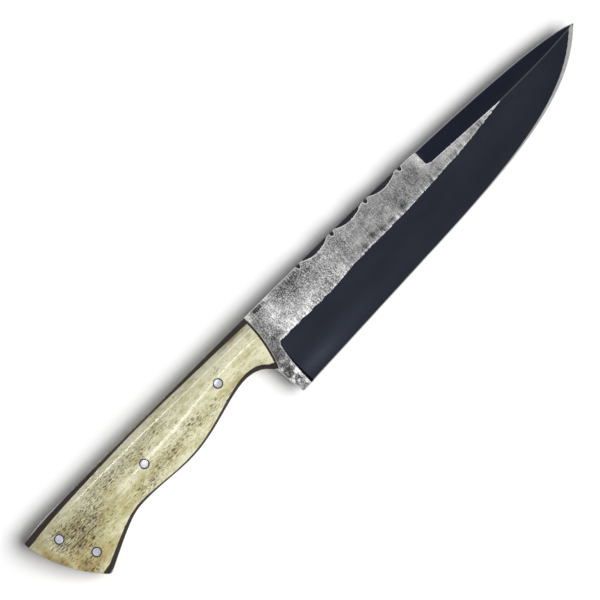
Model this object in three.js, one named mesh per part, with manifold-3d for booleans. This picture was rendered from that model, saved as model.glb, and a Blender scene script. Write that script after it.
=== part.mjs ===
// A hand-forged barbecue knife: full-tang blade, two dark liners, two bone scales and four pins.
// Millimetres. X runs to the tip, Y to the spine and Z up, with the knife lying on its side.
// While it is built, X and Y are 0 where the scales' front edge meets the spine.
// Z is then 0 in the blade's middle plane.
import * as THREE from "three";
import { mergeVertices } from "three/addons/utils/BufferGeometryUtils.js";
import Module from "manifold-3d";

const wasm = await Module();
wasm.setup();

// Blade outline
const BLADE_LENGTH = 193.5; // scales' front to tip
const BLADE_THICKNESS = 4.8; // forged bar, 3/16 in
const HEEL_DEPTH = 41.1; // spine line to heel
const HEEL_SETBACK = 2.8; // heel corner behind the scales' front
const HEEL_RADIUS = 0.8;
const SPINE_BOW = 0.6; // pull of the spine's gentle rise
const SPINE_BOW_AT = 75; // ahead of the scales
const SPINE_TURN = 15.5; // behind the tip, where the spine turns down
const TIP_DROP = 8.7; // tip below the spine line
const TIP_ANGLE = 45; // degrees, edge against the spine line at the tip
const TIP_PULL = 25; // reach of the curve that runs into the tip
const BELLY_LENGTH = 105; // curved part of the edge, up to the tip
const BELLY_DEPTH = 36.2; // edge below the spine line where its curve starts
const BELLY_PULL = 63; // reach of the curve that leaves the straight edge

// Ground bevels
const PLUNGE_AHEAD = 0.95; // plunge wall ahead of the scales, at the edge
const PLUNGE_LEAN = 2.8; // by which the wall sweeps to the tip on its way up
const PLUNGE_SWEEP = 4.5; // below the grind line, where it starts to sweep
const PLUNGE_RADIUS = 1.5; // corner between wall and grind line
const PLUNGE_DRAFT = 3; // plan width of the sloping wall
const GRIND_DEPTH_HEEL = 17.9; // grind line below the spine line
const GRIND_DEPTH_MIDDLE = 16.2;
const GRIND_WAVE_FROM = 38; // ahead of the scales, where the line rises to its middle depth
const GRIND_WAVE_TO = 57;
const GRIND_BEND_BACK = 86; // behind the tip, where it bends up to the run-out
const RUNOUT_BACK = 45.7; // behind the tip, where the forged flat runs out
const RUNOUT_DEPTH = 10.4;
const SHARPENING_ANGLE = 18; // degrees on each side
const SHARPENED_WIDTH_HEEL = 0.35;
const SHARPENED_WIDTH_TIP = 1.9;
const EDGE_LAND = 0.1; // thickness left at the very edge

// False edge on the spine, next to the tip
const SWEDGE_LENGTH = 89.2;
const SWEDGE_DEPTH = 8.5; // width where it starts
const SWEDGE_RADIUS = 1.9; // corner of the step that it starts from
const SWEDGE_DRAFT = 0.4;
const SWEDGE_LAND = 1.8; // spine thickness left at its start
const TIP_LAND = 0.6; // spine thickness left at the tip

// Filework: round-file cuts across the corners of the spine
const FILEWORK_START = 33.6; // first notch ahead of the scales
const FILEWORK_PITCH = 20.4;
const FILEWORK_BAYS = 3; // scallops, each between two notches
const SCALLOP_WIDTH = 15.8;
const SCALLOP_DEPTH = 1.6; // square to the cut corner
const NOTCH_RADIUS = 1;
const NOTCH_DEPTH = 1.3;
const FILE_REACH = 12; // length of file across the corner

// Handle outline
const HANDLE_LENGTH = 136.5;
const TANG_THICKNESS = 4.4; // ground flat, a little under the forged bar
const TANG_SETBACK = 0.15; // ground seat ahead of the liners' front edge
const CHOIL_SETBACK = 4.4; // where the belly meets the heel, behind the scales' front
const CHOIL_DEPTH = 26.7;
const FRONT_BULGE = 0.9; // pull of the scales' front edge to the blade
const GROOVE_SETBACK = 17; // finger groove, behind the scales' front
const GROOVE_DEPTH = 19.7;
const GROOVE_SHOULDER = 4; // roundness between choil and groove
const GROOVE_PULL = 10.8; // reach of the groove's curve to the palm
const SWELL_FROM_WAIST = 22; // palm swell ahead of the waist
const SWELL_DEPTH = 27.8;
const SWELL_PULL = 17; // reach of the swell's curve to the groove
const WAIST_FROM_TOE = 36.5; // waist ahead of the butt's toe
const WAIST_DEPTH = 26.8;
const WAIST_PULL = 8; // reach of the flat curve between swell and waist
const TOE_SETBACK = 18.3; // toe ahead of the butt's spine corner
const TOE_DEPTH = 39.5;
const TOE_FLARE = 26.5; // degrees, belly against the spine line at the toe
const BUTT_DROP = 3.4; // butt's spine corner below the spine line
const BUTT_BULGE = 3.1; // butt's curve beyond its chord
const BUTT_RADIUS = 1.2; // both butt corners
const GRIP_STRAIGHT = 95; // reach of the nearly straight run of the handle's spine side
const GRIP_SAG = 1.5; // pull of that run below the spine line
const BUTT_TURN = 21.5; // reach of the curve by which the spine side turns down to the butt
const BUTT_TURN_SAG = 0.4;
const TANG_PROUD = 0.6; // steel standing out of the liners on the spine side, by the butt
const TANG_PROUD_LENGTH = 26;

// Handle layers, each side
const GLUE_LINE = 0.1;
const LINER_THICKNESS = 2;
const LINER_REACH = 0.8; // liner's front edge ahead of the bone's
const CROWN_FRONT = 4.8; // bone thickness on the crown
const CROWN_GROOVE = 5.1;
const CROWN_SWELL = 5.8;
const CROWN_WAIST = 5.6;
const CROWN_BUTT = 4.6;
const CROWN_FULLNESS = 2.4; // power of the rounded section, 2 is a parabola
const CROWN_LINE_FRONT = 10.2; // crown below the spine line, at the scales' front
const CROWN_LINE_GROOVE = 9.7;
const CROWN_LINE_SWELL = 13.9;
const CROWN_LINE_WAIST = 15;
const CROWN_LINE_BUTT = 18.5;
const SPINE_BAND_FRONT = 2.7; // plan width of the liner's sloping side
const SPINE_BAND_GROOVE = 2.05;
const SPINE_BAND_SWELL = 1;
const SPINE_BAND_WAIST = 1.3;
const SPINE_BAND_BUTT = 3;
const BELLY_BAND_FRONT = 4.2;
const BELLY_BAND_GROOVE = 1.7;
const BELLY_BAND_SWELL = 0.8;
const BELLY_BAND_WAIST = 0.95;
const BELLY_BAND_BUTT = 3.4;

// Pins
const PIN_DIAMETER = 4;
const PIN_CLEARANCE = 0.1; // on the radius
const FRONT_PIN_SETBACK = 27; // behind the scales' front
const FRONT_PIN_DEPTH = 12.5; // below the spine line
const MIDDLE_PIN_SETBACK = 74.3;
const MIDDLE_PIN_DEPTH = 15.1;
const UPPER_PIN_FROM_BUTT = 12.7; // ahead of the butt's spine corner
const UPPER_PIN_DEPTH = 12.7;
const LOWER_PIN_FROM_BUTT = 20.5;
const LOWER_PIN_DEPTH = 28;

// Fineness of the curves
const CURVE_STEPS = 14;
const CORNER_STEPS = 4;
const GRIND_STATIONS = 40;
const GRIP_STATIONS = 36;
const CROWDING = 1.5; // above 1, stations crowd to their last end
const SECTION_STEPS = 14;
const PIN_SEGMENTS = 24;
const SCALLOP_SEGMENTS = 96;
const NOTCH_SEGMENTS = 16;
const CUT_MARGIN = 2; // by which a cut runs past the steel
const MERGE_DISTANCE = 1e-4;
const SEARCH_STEPS = 40;
const SLOPE_STEP = 0.25; // over which an edge's slope is read

const SIDES = [1, -1];
const HALF = BLADE_THICKNESS / 2;
const CUT_TOP = HALF + CUT_MARGIN;
const point = (x, y) => new THREE.Vector2(x, y);
const radians = THREE.MathUtils.degToRad;

function solid(geometry) {
  geometry.deleteAttribute("normal");
  geometry.deleteAttribute("uv");
  const merged = mergeVertices(geometry, MERGE_DISTANCE);
  return new wasm.Manifold(
    new wasm.Mesh({
      numProp: 3,
      vertProperties: new Float32Array(merged.attributes.position.array),
      triVerts: new Uint32Array(merged.index.array),
    }),
  );
}

function prism(outline, bottom, top) {
  const options = { depth: top - bottom, bevelEnabled: false };
  const geometry = new THREE.ExtrudeGeometry(new THREE.Shape(outline), options);
  return solid(geometry.translate(0, 0, bottom));
}

// A closed solid skinned over cross-sections with equal point counts, in rising order along X or Z.
function loft(sections, along) {
  const clockwise = THREE.ShapeUtils.isClockWise(sections[0].points);
  const rings = sections.map(({ points }) => (clockwise ? [...points].reverse() : points));
  const count = rings[0].length;
  const place = along === "x" ? (p, at) => [at, p.x, p.y] : (p, at) => [p.x, p.y, at];
  const positions = rings.flatMap((ring, i) => ring.flatMap((p) => place(p, sections[i].at)));
  const faces = [];
  for (let start = 0; start < (rings.length - 1) * count; start += count) {
    for (let corner = 0; corner < count; corner++) {
      const near = start + corner;
      const next = start + ((corner + 1) % count);
      faces.push([near, next, next + count], [near, next + count, near + count]);
    }
  }
  const last = (rings.length - 1) * count;
  for (const [a, b, c] of THREE.ShapeUtils.triangulateShape(rings[0], [])) {
    faces.push([a, c, b]);
  }
  for (const [a, b, c] of THREE.ShapeUtils.triangulateShape(rings[rings.length - 1], [])) {
    faces.push([last + a, last + b, last + c]);
  }
  const geometry = new THREE.BufferGeometry();
  geometry.setAttribute("position", new THREE.Float32BufferAttribute(positions, 3));
  geometry.setIndex(faces.flat());
  return solid(geometry);
}

// Height at x of a curve whose x rises or falls all the way. Past an end it keeps the end's height.
function heightAt(curve, x) {
  const rises = curve.getPoint(1).x > curve.getPoint(0).x;
  let low = 0;
  let high = 1;
  for (let step = 0; step < SEARCH_STEPS; step++) {
    const middle = (low + high) / 2;
    if (curve.getPoint(middle).x < x === rises) {
      low = middle;
    } else {
      high = middle;
    }
  }
  return curve.getPoint(low).y;
}

function chain(...curves) {
  const path = new THREE.CurvePath();
  curves.forEach((curve) => path.add(curve));
  return path;
}

// Joins runs of points, each starting where the last one ends, into a closed outline with rounded corners.
function outlineOf(runs) {
  const outline = [];
  runs.forEach(({ points, radius }, i) => {
    const next = runs[(i + 1) % runs.length].points;
    const startRadius = runs[(i + runs.length - 1) % runs.length].radius;
    const start = points[0];
    const corner = next[0];
    const kept = points.filter((p) => p.distanceTo(start) > startRadius && p.distanceTo(corner) > radius);
    outline.push(...kept);
    if (radius > 0) {
      const after = next.find((p) => p.distanceTo(corner) > radius);
      const from = kept[kept.length - 1].clone().sub(corner).setLength(radius).add(corner);
      const to = after.clone().sub(corner).setLength(radius).add(corner);
      outline.push(...new THREE.QuadraticBezierCurve(from, corner, to).getPoints(CORNER_STEPS));
    } else {
      outline.push(corner.clone());
    }
  });
  return outline;
}

// Curves of the outline, seen from above
const frontCorner = point(0, 0);
const tip = point(BLADE_LENGTH, -TIP_DROP);
const heel = point(-HEEL_SETBACK, -HEEL_DEPTH);
const choil = point(-CHOIL_SETBACK, -CHOIL_DEPTH);
const groove = point(-GROOVE_SETBACK, -GROOVE_DEPTH);
const buttCorner = point(-HANDLE_LENGTH, -BUTT_DROP);
const toe = point(TOE_SETBACK - HANDLE_LENGTH, -TOE_DEPTH);
const waist = point(toe.x + WAIST_FROM_TOE, -WAIST_DEPTH);
const swell = point(waist.x + SWELL_FROM_WAIST, -SWELL_DEPTH);

const spine = new THREE.CubicBezierCurve(
  frontCorner,
  point(SPINE_BOW_AT, SPINE_BOW),
  point(tip.x - SPINE_TURN, 0),
  tip,
);

const bellyStart = point(tip.x - BELLY_LENGTH, -BELLY_DEPTH);
const straightEdge = new THREE.LineCurve(heel, bellyStart);
const edgeRun = bellyStart.clone().sub(heel).setLength(BELLY_PULL);
const tipRun = point(Math.cos(radians(TIP_ANGLE)), Math.sin(radians(TIP_ANGLE))).setLength(TIP_PULL);
const edge = chain(
  straightEdge,
  new THREE.CubicBezierCurve(bellyStart, bellyStart.clone().add(edgeRun), tip.clone().sub(tipRun), tip),
);

// A curve that leaves one point and reaches the next along X.
function level(from, pull, to, nextPull) {
  const leave = point(from.x - pull, from.y);
  const reach = point(to.x + nextPull, to.y);
  return new THREE.CubicBezierCurve(from, leave, reach, to);
}

const flareStart = point(toe.x + (TOE_DEPTH - WAIST_DEPTH) / Math.tan(radians(TOE_FLARE)), waist.y);
const belly = chain(
  new THREE.QuadraticBezierCurve(choil, point(choil.x - GROOVE_SHOULDER, groove.y), groove),
  level(groove, GROOVE_PULL, swell, SWELL_PULL),
  level(swell, WAIST_PULL, waist, WAIST_PULL),
  new THREE.CubicBezierCurve(waist, flareStart, flareStart, toe),
);

const buttMiddle = toe.clone().add(buttCorner).divideScalar(2);
const buttOut = point(toe.y - buttCorner.y, buttCorner.x - toe.x).setLength(2 * BUTT_BULGE);
const butt = new THREE.QuadraticBezierCurve(toe, buttMiddle.add(buttOut), buttCorner);
const gripSpine = new THREE.CubicBezierCurve(
  buttCorner,
  point(buttCorner.x + BUTT_TURN, -BUTT_TURN_SAG),
  point(-GRIP_STRAIGHT, -GRIP_SAG),
  frontCorner,
);
const tangSpine = gripSpine.getPoints(2 * CURVE_STEPS).map((p) => {
  const share = THREE.MathUtils.clamp((p.x - buttCorner.x) / TANG_PROUD_LENGTH, 0, 1);
  return point(p.x, p.y + TANG_PROUD * Math.sin(Math.PI * share));
});
const scaleFront = new THREE.QuadraticBezierCurve(frontCorner, point(FRONT_BULGE, choil.y / 2), choil);

const run = (curve, radius = 0) => ({ points: curve.getPoints(CURVE_STEPS), radius });
const bladeOutline = outlineOf([
  { points: spine.getPoints(2 * CURVE_STEPS), radius: 0 },
  { points: edge.getPoints(2 * CURVE_STEPS).reverse(), radius: HEEL_RADIUS },
  run(new THREE.LineCurve(heel, choil)),
  run(belly, BUTT_RADIUS),
  run(butt, BUTT_RADIUS),
  { points: tangSpine, radius: 0 },
]);

// One cross-section of a grinding cut: all that lies outside the sloping line through two points.
function grindSection(inner, outer, side) {
  const away = Math.sign(outer.y - inner.y);
  const slope = (inner.z - outer.z) / Math.abs(outer.y - inner.y);
  const topY = inner.y - (away * (CUT_TOP - inner.z)) / slope;
  const farY = outer.y + away * CUT_MARGIN;
  const farZ = outer.z - slope * CUT_MARGIN;
  return [point(topY, side * CUT_TOP), point(farY, side * farZ), point(farY, side * CUT_TOP)];
}

// The plan area that a grinding cut keeps to, from the blade's middle out. Its wall slopes over a draft.
function grindArea(outlineAt, draft, side) {
  const inner = { at: 0, points: outlineAt(draft) };
  const outer = { at: side * CUT_TOP, points: outlineAt(0) };
  return loft(side > 0 ? [inner, outer] : [outer, inner], "z");
}

const runout = point(tip.x - RUNOUT_BACK, -RUNOUT_DEPTH);
const waveFrom = point(GRIND_WAVE_FROM, -GRIND_DEPTH_HEEL);
const waveTo = point(GRIND_WAVE_TO, -GRIND_DEPTH_MIDDLE);
const waveMiddle = (waveFrom.x + waveTo.x) / 2;
const grindLine = chain(
  new THREE.LineCurve(point(-HEEL_SETBACK, waveFrom.y), waveFrom),
  new THREE.CubicBezierCurve(waveFrom, point(waveMiddle, waveFrom.y), point(waveMiddle, waveTo.y), waveTo),
  new THREE.QuadraticBezierCurve(waveTo, point(tip.x - GRIND_BEND_BACK, waveTo.y), runout),
);
const swedgeStart = point(tip.x - SWEDGE_LENGTH, -SWEDGE_DEPTH);
const swedgeLine = new THREE.LineCurve(swedgeStart, runout);

function sharpenedWidth(x) {
  const share = THREE.MathUtils.clamp((x - bellyStart.x) / BELLY_LENGTH, 0, 1);
  return THREE.MathUtils.lerp(SHARPENED_WIDTH_HEEL, SHARPENED_WIDTH_TIP, share * share);
}

// Where the sharpened band meets the main bevel at x.
function shoulderAt(x) {
  const slope = (heightAt(edge, x + SLOPE_STEP) - heightAt(edge, x - SLOPE_STEP)) / (2 * SLOPE_STEP);
  const width = sharpenedWidth(x);
  return {
    y: heightAt(edge, x) + width * Math.hypot(1, slope),
    z: EDGE_LAND / 2 + width * Math.tan(radians(SHARPENING_ANGLE)),
  };
}

// Past the run-out both bevels keep the slope that they have there.
const runoutShoulder = shoulderAt(runout.x);
const bevelSlope = (HALF - runoutShoulder.z) / (runout.y - runoutShoulder.y);
const spineLandAt = (x) => {
  const share = THREE.MathUtils.clamp((x - swedgeStart.x) / SWEDGE_LENGTH, 0, 1);
  return THREE.MathUtils.lerp(SWEDGE_LAND, TIP_LAND, share) / 2;
};
const swedgeSlope = (HALF - spineLandAt(runout.x)) / (heightAt(spine, runout.x) - runout.y);

function bevelSection(x, side) {
  const shoulder = shoulderAt(x);
  const grindY = x < runout.x ? heightAt(grindLine, x) : shoulder.y + (HALF - shoulder.z) / bevelSlope;
  return grindSection({ y: grindY, z: HALF }, shoulder, side);
}

function sharpenedSection(x, side) {
  return grindSection(shoulderAt(x), { y: heightAt(edge, x), z: EDGE_LAND / 2 }, side);
}

function swedgeSection(x, side) {
  const top = { y: heightAt(spine, x), z: spineLandAt(x) };
  const lineY = x < runout.x ? heightAt(swedgeLine, x) : top.y - (HALF - top.z) / swedgeSlope;
  return grindSection({ y: lineY, z: HALF }, top, side);
}

function stations(from, to, count) {
  const places = [];
  for (let i = 0; i <= count; i++) {
    places.push(THREE.MathUtils.lerp(from, to, 1 - (1 - i / count) ** CROWDING));
  }
  return places;
}

function grind(sectionAt, from, side) {
  const places = [...stations(from, tip.x, GRIND_STATIONS), tip.x + CUT_MARGIN];
  return loft(places.map((x) => ({ at: x, points: sectionAt(x, side) })), "x");
}

const floorY = -HEEL_DEPTH - CUT_MARGIN;
const roofY = SPINE_BOW + CUT_MARGIN;
const farX = tip.x + 2 * CUT_MARGIN;

// Area of the main bevel: a plunge wall that sweeps to the tip, with a rounded corner at its top.
function plungeArea(shift) {
  const cornerY = heightAt(grindLine, PLUNGE_AHEAD);
  const foot = point(PLUNGE_AHEAD + shift, floorY);
  const corner = point(foot.x + PLUNGE_LEAN, cornerY);
  const sweep = new THREE.QuadraticBezierCurve(foot, point(foot.x, cornerY - PLUNGE_SWEEP), corner);
  const wall = sweep.getPoints(CURVE_STEPS).filter((p) => p.distanceTo(corner) > PLUNGE_RADIUS);
  const wallTop = wall.pop();
  const lineStart = point(corner.x + PLUNGE_RADIUS, cornerY);
  const rounding = new THREE.QuadraticBezierCurve(wallTop, corner, lineStart).getPoints(CORNER_STEPS);
  return [...wall, ...rounding, point(lineStart.x, roofY), point(farX, roofY), point(farX, floorY)];
}

// Area of the false edge: a square step across the spine with a rounded corner at its foot.
function swedgeArea(shift) {
  const corner = point(swedgeStart.x + shift, swedgeStart.y);
  const wallFoot = point(corner.x, corner.y + SWEDGE_RADIUS);
  const lineStart = point(corner.x + SWEDGE_RADIUS, corner.y);
  const rounding = new THREE.QuadraticBezierCurve(wallFoot, corner, lineStart).getPoints(CORNER_STEPS);
  const foot = point(lineStart.x, floorY);
  return [point(corner.x, roofY), ...rounding, foot, point(farX, floorY), point(farX, roofY)];
}

// A round file's cut across one corner of the spine, at 45 degrees and sunk to a depth.
function fileCut(x, radius, depth, segments, side) {
  const file = new THREE.CylinderGeometry(radius, radius, FILE_REACH, segments);
  const out = (radius - depth) * Math.SQRT1_2;
  file.rotateX((-side * Math.PI) / 4);
  return solid(file.translate(x, heightAt(spine, x) + out, side * (HALF + out)));
}

const scallopRadius = ((SCALLOP_WIDTH / 2) ** 2 + SCALLOP_DEPTH ** 2) / (2 * SCALLOP_DEPTH);
const scallop = (x, side) => fileCut(x, scallopRadius, SCALLOP_DEPTH, SCALLOP_SEGMENTS, side);
const notch = (x, side) => fileCut(x, NOTCH_RADIUS, NOTCH_DEPTH, NOTCH_SEGMENTS, side);

// On the front side notches stand between the scallops. On the back side the two change places.
function fileworkCuts() {
  const cuts = [];
  for (let mark = 0; mark <= FILEWORK_BAYS; mark++) {
    const x = FILEWORK_START + mark * FILEWORK_PITCH;
    cuts.push(notch(x, 1));
    if (mark > 0 && mark < FILEWORK_BAYS) {
      cuts.push(scallop(x, -1));
    }
    if (mark < FILEWORK_BAYS) {
      cuts.push(scallop(x + FILEWORK_PITCH / 2, 1));
      cuts.push(notch(x + FILEWORK_PITCH / 2, -1));
    }
  }
  return cuts;
}

// Handle layers, from the tang outwards
const linerFloor = TANG_THICKNESS / 2 + GLUE_LINE;
const linerTop = linerFloor + LINER_THICKNESS;
const scaleFloor = linerTop + GLUE_LINE;
const domeBase = (linerTop + scaleFloor) / 2;
const thickest = Math.max(CROWN_FRONT, CROWN_GROOVE, CROWN_SWELL, CROWN_WAIST, CROWN_BUTT);
const crownTop = scaleFloor + thickest + CUT_MARGIN;
const gripMarks = [buttCorner, waist, swell, groove, frontCorner];
const alongGrip = (...sizes) => new THREE.SplineCurve(gripMarks.map((mark, i) => point(mark.x, sizes[i])));
const crown = alongGrip(CROWN_BUTT, CROWN_WAIST, CROWN_SWELL, CROWN_GROOVE, CROWN_FRONT);
const crownDepth = alongGrip(
  CROWN_LINE_BUTT,
  CROWN_LINE_WAIST,
  CROWN_LINE_SWELL,
  CROWN_LINE_GROOVE,
  CROWN_LINE_FRONT,
);
const spineBand = alongGrip(
  SPINE_BAND_BUTT,
  SPINE_BAND_WAIST,
  SPINE_BAND_SWELL,
  SPINE_BAND_GROOVE,
  SPINE_BAND_FRONT,
);
const bellyBand = alongGrip(
  BELLY_BAND_BUTT,
  BELLY_BAND_WAIST,
  BELLY_BAND_SWELL,
  BELLY_BAND_GROOVE,
  BELLY_BAND_FRONT,
);

// Full cross-section of the handle: straight by the tang, sloping over the liner, rounded over the bone.
function gripSection(x) {
  const spineY = heightAt(gripSpine, x);
  const bellyY = heightAt(belly, x);
  const crownY = -heightAt(crownDepth, x);
  const boneTop = spineY - heightAt(spineBand, x);
  const boneBottom = bellyY + heightAt(bellyBand, x);
  const rise = scaleFloor + heightAt(crown, x) - domeBase;
  const front = [point(spineY, TANG_THICKNESS / 2)];
  for (let i = 0; i <= SECTION_STEPS; i++) {
    const across = Math.cos((Math.PI * i) / SECTION_STEPS);
    const side = across > 0 ? boneTop : boneBottom;
    const up = 1 - Math.abs(across) ** CROWN_FULLNESS;
    front.push(point(THREE.MathUtils.lerp(crownY, side, Math.abs(across)), domeBase + rise * up));
  }
  front.push(point(bellyY, TANG_THICKNESS / 2));
  const back = front.map((p) => point(p.x, -p.y)).reverse();
  return [...front, ...back];
}

// All that lies behind the scales' front edge, moved ahead by a reach, and above the choil by the heel.
function behindFront(reach, drop = 0) {
  const farBack = buttCorner.x - CUT_MARGIN - BUTT_BULGE;
  return [
    point(reach, roofY),
    ...scaleFront.getPoints(CURVE_STEPS).slice(0, -1).map((p) => point(p.x + reach, p.y)),
    point(choil.x + reach, choil.y - drop),
    point(choil.x - CUT_MARGIN, choil.y - drop),
    point(choil.x - CUT_MARGIN, floorY),
    point(farBack, floorY),
    point(farBack, roofY),
  ];
}

// The glued-up handle is shaped as one block, and each layer and pin is then read off it.
function shapedGrip() {
  const places = stations(buttCorner.x - CUT_MARGIN, frontCorner.x + CUT_MARGIN, GRIP_STATIONS);
  const block = loft(places.map((x) => ({ at: x, points: gripSection(x) })), "x");
  const outline = prism(bladeOutline, -crownTop, crownTop);
  return block.intersect(outline).intersect(prism(behindFront(LINER_REACH), -crownTop, crownTop));
}

// The ground seat of the tang on one side: the handle's area up to just ahead of the liners.
function tangSeat(side) {
  const seat = behindFront(LINER_REACH + TANG_SETBACK, TANG_SETBACK);
  const [bottom, top] = [(side * TANG_THICKNESS) / 2, side * CUT_TOP].sort((a, b) => a - b);
  return prism(seat, bottom, top);
}

const pinCentres = {
  front_pin: point(-FRONT_PIN_SETBACK, -FRONT_PIN_DEPTH),
  middle_pin: point(-MIDDLE_PIN_SETBACK, -MIDDLE_PIN_DEPTH),
  butt_upper_pin: point(UPPER_PIN_FROM_BUTT - HANDLE_LENGTH, -UPPER_PIN_DEPTH),
  butt_lower_pin: point(LOWER_PIN_FROM_BUTT - HANDLE_LENGTH, -LOWER_PIN_DEPTH),
};

function rod(centre, radius) {
  const geometry = new THREE.CylinderGeometry(radius, radius, 2 * crownTop, PIN_SEGMENTS);
  return solid(geometry.rotateX(Math.PI / 2).translate(centre.x, centre.y, 0));
}

const pinHoles = Object.values(pinCentres).map((centre) => rod(centre, PIN_DIAMETER / 2 + PIN_CLEARANCE));
const drilled = (shape) => pinHoles.reduce((left, hole) => left.subtract(hole), shape);

function forgedBlade() {
  let blade = prism(bladeOutline, -HALF, HALF);
  for (const side of SIDES) {
    const bevel = grind(bevelSection, heel.x, side).add(grind(sharpenedSection, heel.x, side));
    const swedge = grind(swedgeSection, swedgeStart.x - CUT_MARGIN, side);
    blade = blade.subtract(bevel.intersect(grindArea(plungeArea, PLUNGE_DRAFT, side)));
    blade = blade.subtract(swedge.intersect(grindArea(swedgeArea, SWEDGE_DRAFT, side)));
    blade = blade.subtract(tangSeat(side));
  }
  return drilled(fileworkCuts().reduce((left, cut) => left.subtract(cut), blade));
}

const steel = new THREE.MeshStandardMaterial({ color: 0x8d8f94, roughness: 0.42, metalness: 1 });
const linerHorn = new THREE.MeshStandardMaterial({ color: 0x3a332c, roughness: 0.55, metalness: 0 });
const bone = new THREE.MeshStandardMaterial({ color: 0xcac5a8, roughness: 0.32, metalness: 0 });
const pinMetal = new THREE.MeshStandardMaterial({ color: 0xc8c6bf, roughness: 0.35, metalness: 1 });

function piece(name, shape, material) {
  const made = shape.getMesh();
  const geometry = new THREE.BufferGeometry();
  geometry.setAttribute("position", new THREE.BufferAttribute(made.vertProperties, 3));
  geometry.setIndex(new THREE.BufferAttribute(made.triVerts, 1));
  const mesh = new THREE.Mesh(geometry, material);
  mesh.name = name;
  return mesh;
}

const grip = shapedGrip();
const boneArea = prism(behindFront(0), -crownTop, crownTop);

// The part of the handle between two heights, drilled for the pins.
function layer(bottom, top) {
  const length = 2 * (HANDLE_LENGTH + CUT_MARGIN);
  const slab = new THREE.BoxGeometry(length, length, top - bottom).translate(0, 0, (bottom + top) / 2);
  return drilled(grip.intersect(solid(slab)));
}

const knife = new THREE.Group();
knife.name = "barbecue_knife";
knife.add(
  piece("blade", forgedBlade(), steel),
  piece("front_liner", layer(linerFloor, linerTop), linerHorn),
  piece("back_liner", layer(-linerTop, -linerFloor), linerHorn),
  piece("front_scale", layer(scaleFloor, crownTop).intersect(boneArea), bone),
  piece("back_scale", layer(-crownTop, -scaleFloor).intersect(boneArea), bone),
  ...Object.entries(pinCentres).map(([name, centre]) =>
    piece(name, rod(centre, PIN_DIAMETER / 2).intersect(grip), pinMetal),
  ),
);

// The finished knife has its origin under the middle of its box, on the ground.
const box = new THREE.Box3().setFromObject(knife);
const middle = box.getCenter(new THREE.Vector3());
knife.children.forEach((mesh) => mesh.geometry.translate(-middle.x, -middle.y, -box.min.z));

export default knife;
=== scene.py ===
"""Looks of the barbecue knife: forged blade, fibre liners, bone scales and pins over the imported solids."""

import math

import bmesh
import bpy
import numpy as np
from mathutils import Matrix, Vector, geometry, kdtree, noise
from mathutils.bvhtree import BVHTree


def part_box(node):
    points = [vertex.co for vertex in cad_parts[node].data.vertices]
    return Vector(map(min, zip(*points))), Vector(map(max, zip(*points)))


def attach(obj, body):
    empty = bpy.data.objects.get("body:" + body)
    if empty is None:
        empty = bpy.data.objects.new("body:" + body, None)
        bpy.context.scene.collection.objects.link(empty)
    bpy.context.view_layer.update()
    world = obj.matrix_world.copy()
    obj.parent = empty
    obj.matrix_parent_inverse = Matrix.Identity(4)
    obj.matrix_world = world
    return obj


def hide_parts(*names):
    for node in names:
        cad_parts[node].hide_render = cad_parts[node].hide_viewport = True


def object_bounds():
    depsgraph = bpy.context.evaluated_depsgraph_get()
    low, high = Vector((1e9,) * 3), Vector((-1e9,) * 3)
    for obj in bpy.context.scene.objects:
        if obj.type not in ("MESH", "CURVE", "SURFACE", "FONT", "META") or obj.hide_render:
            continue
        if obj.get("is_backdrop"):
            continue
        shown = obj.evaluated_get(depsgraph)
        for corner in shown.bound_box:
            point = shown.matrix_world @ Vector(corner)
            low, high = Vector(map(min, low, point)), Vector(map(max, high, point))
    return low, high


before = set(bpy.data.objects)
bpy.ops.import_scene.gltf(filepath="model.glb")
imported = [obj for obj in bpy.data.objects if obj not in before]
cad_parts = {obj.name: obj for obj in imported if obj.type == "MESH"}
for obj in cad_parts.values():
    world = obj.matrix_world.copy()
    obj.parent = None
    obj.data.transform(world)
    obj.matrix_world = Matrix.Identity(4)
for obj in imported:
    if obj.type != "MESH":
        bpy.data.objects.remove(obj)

cad_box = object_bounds()

# All lengths below are in millimetres, and scaled to metres where a mesh, a lamp or the camera is made.
MM = 0.001
FRONT, BACK = 1, -1
SIDES = (FRONT, BACK)
PINS = ("front_pin", "middle_pin", "butt_upper_pin", "butt_lower_pin")

# Photograph: the knife lies flat, seen from straight above and turned in the picture
PHOTO_PIXELS = 600
PIXEL = 0.436
TURN = math.radians(-44.4)
AIM_AHEAD = 23.79
AIM_BELOW = 11.43
CAMERA_HEIGHT = 4000
CAMERA_REACH = 100000
SENSOR = 36

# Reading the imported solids: rays, welding, the angles that count, and steps of points along lines
FAR = 100
WELD = 0.0001
MERGE = 0.001
NUDGE = 0.02
ALL_TRIANGLES = 0
FLAT_LIMIT = 0.05
BEND = math.radians(1.7)
SHARP = math.radians(30)
PROBE_STEP = 0.3
FINE_PROBE = 0.1
OUTLINE_PROBE = 0.05

# Steps between the points of a plan, and the share of a step, up to a limit, that lines keep clear
FORGED_STEP = 0.5
GRIND_STEP = 0.3
GRIND_REACH = 2.2
GROUND_STEP = 2.5
TANG_STEP = 5
BONE_STEP = 0.8
LINER_STEP = 2.0
ROW_HEIGHT = math.sqrt(0.75)
CLEAR = 0.5
CLEAR_LIMIT = 1.0

# Rows of points beside edges, by distance, and round holes, by share of the radius
EDGE_ROWS = (0.2, 0.45)
ROW_STEP = 0.6
LINER_ROWS = (0.2, 0.5)
BONE_ROWS = (0.06, 0.15, 0.3, 0.5)
HOLE_SEGMENTS = 48
HOLE_ROWS = (1.06, 1.14, 1.3, 1.5)
HOLE_MARGIN = 0.99

# Walls: where their rows lie between front and back, and which side each strip between them belongs to
WALL_ROWS = (0.15, 0.85)
WALL_SIDES = (FRONT, FRONT, BACK)

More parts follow.
